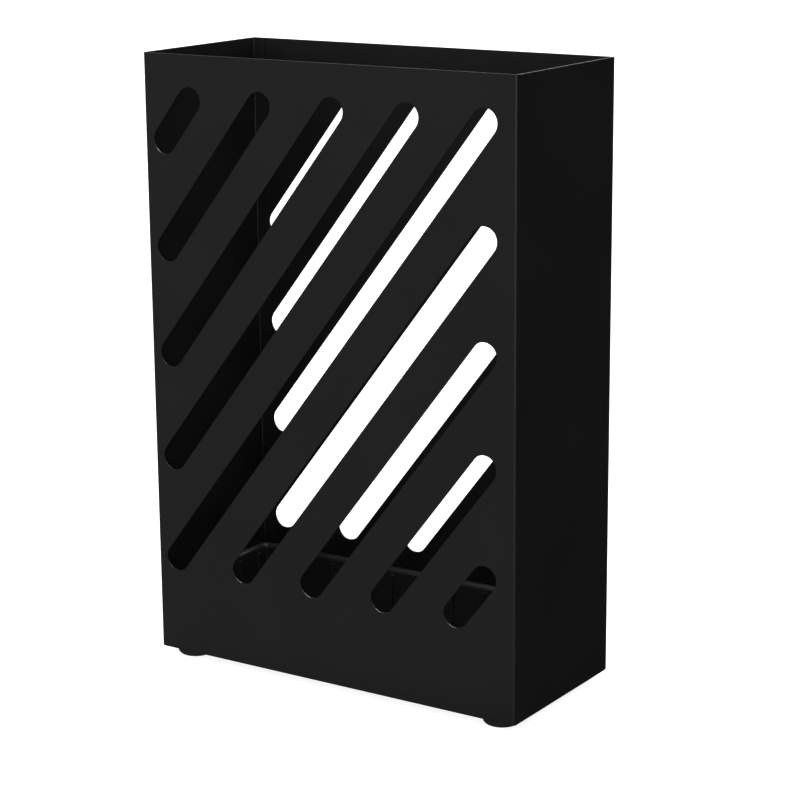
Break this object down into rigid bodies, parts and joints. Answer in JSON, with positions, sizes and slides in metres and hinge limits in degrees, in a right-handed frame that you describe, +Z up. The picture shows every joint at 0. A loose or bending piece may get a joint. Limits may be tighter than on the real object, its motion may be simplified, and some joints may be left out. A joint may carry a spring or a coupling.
{
  "type": "umbrella stand",
  "caption": "Tall open-topped rectangular umbrella stand of black sheet steel with slanted slots front and back, round rubber feet and a lift-out plastic drip tray.",
  "frame": {"origin": "on the floor under the middle of the case: the centre of the bounding box's bottom face", "axes": "+X along the width, +Y from the front face to the back face, +Z up"},
  "size_m": [0.28, 0.12, 0.41],
  "materials": {
    "powder_coat": "satin fine-textured black powder coat",
    "tray_plastic": "moulded black plastic with a soft sheen",
    "foot_rubber": "matte black rubber",
    "zinc_steel": "bright zinc plate"
  },
  "bodies": {
    "stand": {"front_shell": "powder_coat", "back_panel": "powder_coat", "base_plate": "powder_coat", "foot_front_left": "foot_rubber", "foot_front_right": "foot_rubber", "foot_rear_left": "foot_rubber", "foot_rear_right": "foot_rubber", "foot_washers": "zinc_steel", "foot_screws": "zinc_steel", "foot_nuts": "zinc_steel"},
    "tray": {"drip_tray": "tray_plastic"}
  },
  "joints": [
    {"name": "tray_lift", "type": "slide", "parent": "stand", "child": "tray", "axis": [0, 0, 1], "range_m": [0, 0.41]}
  ]
}
